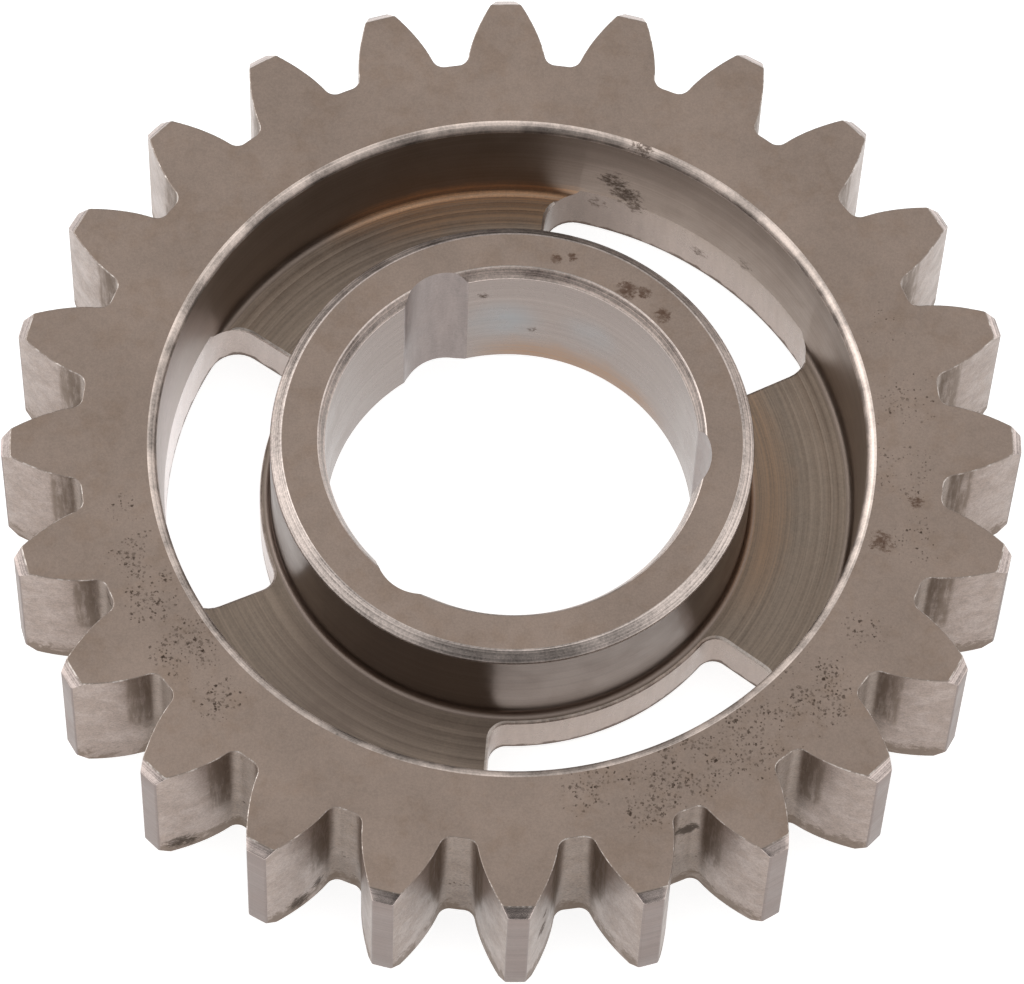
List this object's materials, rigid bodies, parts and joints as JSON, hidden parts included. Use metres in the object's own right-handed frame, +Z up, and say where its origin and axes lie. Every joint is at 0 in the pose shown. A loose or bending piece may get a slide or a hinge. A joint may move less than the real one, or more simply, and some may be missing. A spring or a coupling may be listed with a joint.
{
  "type": "spur pinion gear",
  "caption": "Flat steel spur gear with involute teeth, a dished web with curved lightening slots, and a raised hub whose plain bore has shallow oil grooves.",
  "frame": {"origin": "centre of the bore at the level of the gear's lower face", "axes": "+Z up along the bore from the flat lower face to the raised hub face; +Y through the middle of one tooth; +X follows by the right-hand rule"},
  "size_m": [0.0674, 0.0674, 0.0126],
  "materials": {
    "gear_steel": "ground and turned hardened steel, dull brown-grey faces with small corrosion pits, brighter chamfers, flanks and bore"
  },
  "bodies": {
    "root": {"pinion_gear": "gear_steel"}
  },
  "joints": []
}
